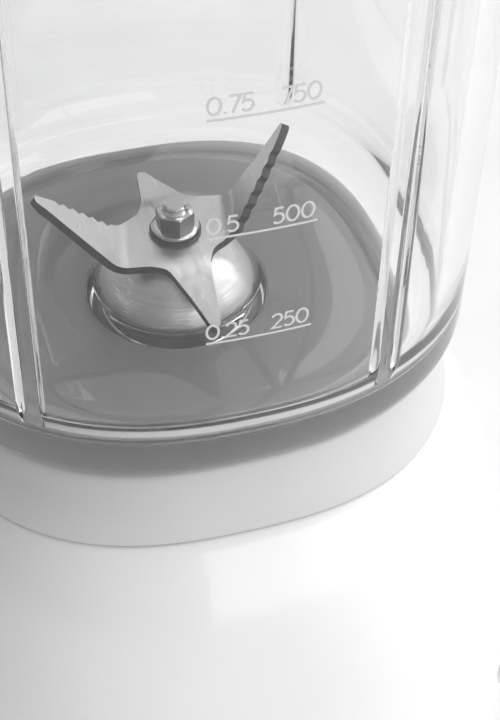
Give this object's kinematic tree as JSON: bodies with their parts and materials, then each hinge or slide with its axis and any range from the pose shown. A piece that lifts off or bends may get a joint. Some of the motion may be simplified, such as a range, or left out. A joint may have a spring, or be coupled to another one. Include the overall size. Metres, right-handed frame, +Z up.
{
  "type": "countertop blender",
  "caption": "Countertop blender: flared rounded-square motor base with a turning knob, clear ribbed jug with a steel blade unit, lift-off lid and filler cap.",
  "frame": {"origin": "point where the drive axis meets the plane that the rubber feet stand on", "axes": "+Z up along the drive axis, -Y towards the control knob and the badge, +X towards the jug's handle, -X towards the graduated side of the jug"},
  "size_m": [0.1956, 0.1891, 0.397],
  "materials": {
    "gloss_white": "high gloss moulding",
    "satin_white": "satin moulding",
    "dark_gasket": "matt elastomer",
    "clear_seal": "translucent silicone",
    "foot_rubber": "matt rubber",
    "dark_plastic": "fine moulded grain",
    "chrome_trim": "polished plating",
    "zinc_steel": "plated steel",
    "cast_alloy": "die-cast",
    "lamination_steel": "stacked laminations",
    "winding_copper": "enamelled copper wire",
    "bush_bronze": "satin",
    "carbon": "pressed carbon",
    "board_green": "solder mask",
    "board_black": "moulded cases",
    "clear_jug": "clear, polished",
    "grey_foot": "satin moulding",
    "brushed_blade": "fine brushed"
  },
  "bodies": {
    "base": {"base_housing": "gloss_white", "seam_gasket": "dark_gasket", "top_collar": "satin_white", "bottom_plate": "dark_plastic", "bottom_trim": "chrome_trim", "rubber_feet": "foot_rubber", "plate_screws": "zinc_steel", "cord_gland": "dark_plastic", "front_badge": "chrome_trim", "knob_bezel": "chrome_trim", "rotary_switch": "dark_plastic", "switch_nut": "zinc_steel", "motor_cradle": "dark_plastic", "mount_grommets": "dark_gasket", "fan_shroud": "dark_plastic", "lower_bracket": "cast_alloy", "upper_bracket": "cast_alloy", "bracket_screws": "zinc_steel", "stator_core": "lamination_steel", "field_coils": "winding_copper", "lower_bearing": "zinc_steel", "upper_bearing": "zinc_steel", "brush_holders": "bush_bronze", "carbon_brushes": "carbon", "control_board": "board_green", "board_parts": "board_black", "jug_sensor": "dark_plastic"},
    "rotor": {"motor_shaft": "zinc_steel", "armature_core": "lamination_steel", "armature_windings": "winding_copper", "commutator": "winding_copper", "cooling_fan": "dark_plastic", "drive_coupling": "cast_alloy", "drip_slinger": "dark_gasket"},
    "knob": {"control_knob": "chrome_trim", "knob_lever": "chrome_trim", "knob_shaft": "zinc_steel"},
    "jug": {"jug": "clear_jug", "jug_handle": "clear_jug", "jug_foot": "grey_foot", "blade_lock_ring": "grey_foot", "floor_gasket": "dark_gasket", "cone_housing": "brushed_blade", "bearing_housing": "grey_foot", "spindle_bushes": "bush_bronze", "spindle_seal": "dark_gasket", "sensor_magnet": "zinc_steel"},
    "blade_unit": {"blade_spindle": "brushed_blade", "blade": "brushed_blade", "blade_washer": "brushed_blade", "blade_nut": "brushed_blade", "driven_coupling": "grey_foot", "retaining_clip": "zinc_steel"},
    "lid": {"lid": "satin_white", "lid_seal": "clear_seal"},
    "filler_cap": {"filler_cap": "satin_white", "cap_seal": "clear_seal"}
  },
  "joints": [
    {"name": "rotor_spin", "type": "hinge", "parent": "base", "child": "rotor", "pos_m": [0, 0, 0.1], "axis": [0, 0, 1], "continuous": true},
    {"name": "knob_turn", "type": "hinge", "parent": "base", "child": "knob", "pos_m": [0, -0.09, 0.046], "axis": [0, -1, 0], "range_deg": [-45, 135]},
    {"name": "jug_lift", "type": "slide", "parent": "base", "child": "jug", "axis": [0, 0, 1], "range_m": [0, 0.06]},
    {"name": "blade_spin", "type": "hinge", "parent": "jug", "child": "blade_unit", "pos_m": [0, 0, 0.2], "axis": [0, 0, 1], "continuous": true},
    {"name": "lid_lift", "type": "slide", "parent": "jug", "child": "lid", "axis": [0, 0, 1], "range_m": [0, 0.06]},
    {"name": "cap_lift", "type": "slide", "parent": "lid", "child": "filler_cap", "axis": [0, 0, 1], "range_m": [0, 0.05]}
  ],
  "couplings": [
    {"joint": "blade_spin", "follows": "rotor_spin", "ratio": 1}
  ]
}
